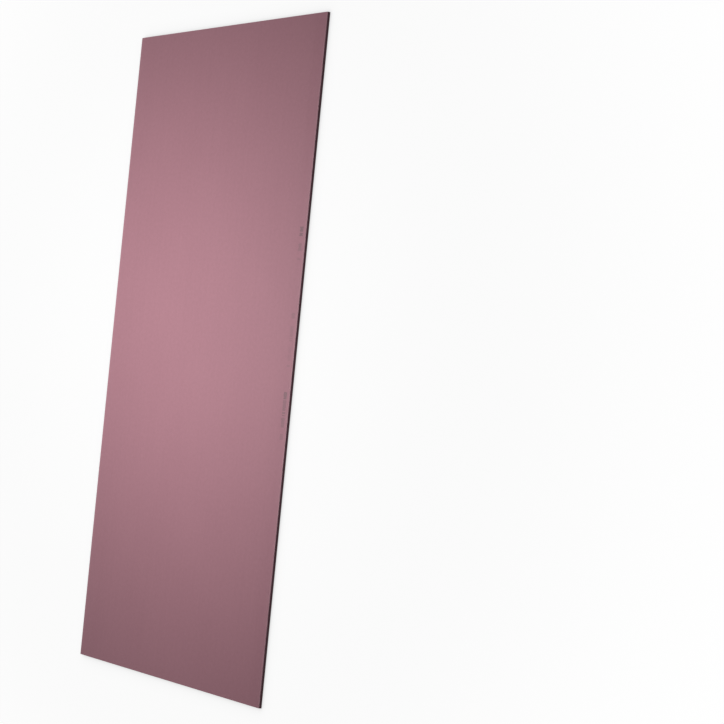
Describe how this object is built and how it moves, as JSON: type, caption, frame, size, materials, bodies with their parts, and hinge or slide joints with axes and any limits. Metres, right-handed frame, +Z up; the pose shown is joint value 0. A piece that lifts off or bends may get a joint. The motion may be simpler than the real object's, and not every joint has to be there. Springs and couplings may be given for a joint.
{
  "type": "drywall sheet",
  "caption": "Flat fire-rated plasterboard sheet with a gypsum core, pink face paper folded round two tapered long edges, brown-grey back paper and square-cut ends.",
  "frame": {"origin": "centre of the back paper's underside, where the sheet rests", "axes": "+X across the width, towards one long edge; +Y along the length, towards one cut end; +Z up through the thickness, out of the pink face"},
  "size_m": [1.2, 2.4, 0.0125],
  "materials": {
    "gypsum": "matte",
    "pink_face_paper": "matte",
    "brown_back_paper": "matte"
  },
  "bodies": {
    "root": {"gypsum_core": "gypsum", "face_paper": "pink_face_paper", "back_paper": "brown_back_paper"}
  },
  "joints": []
}
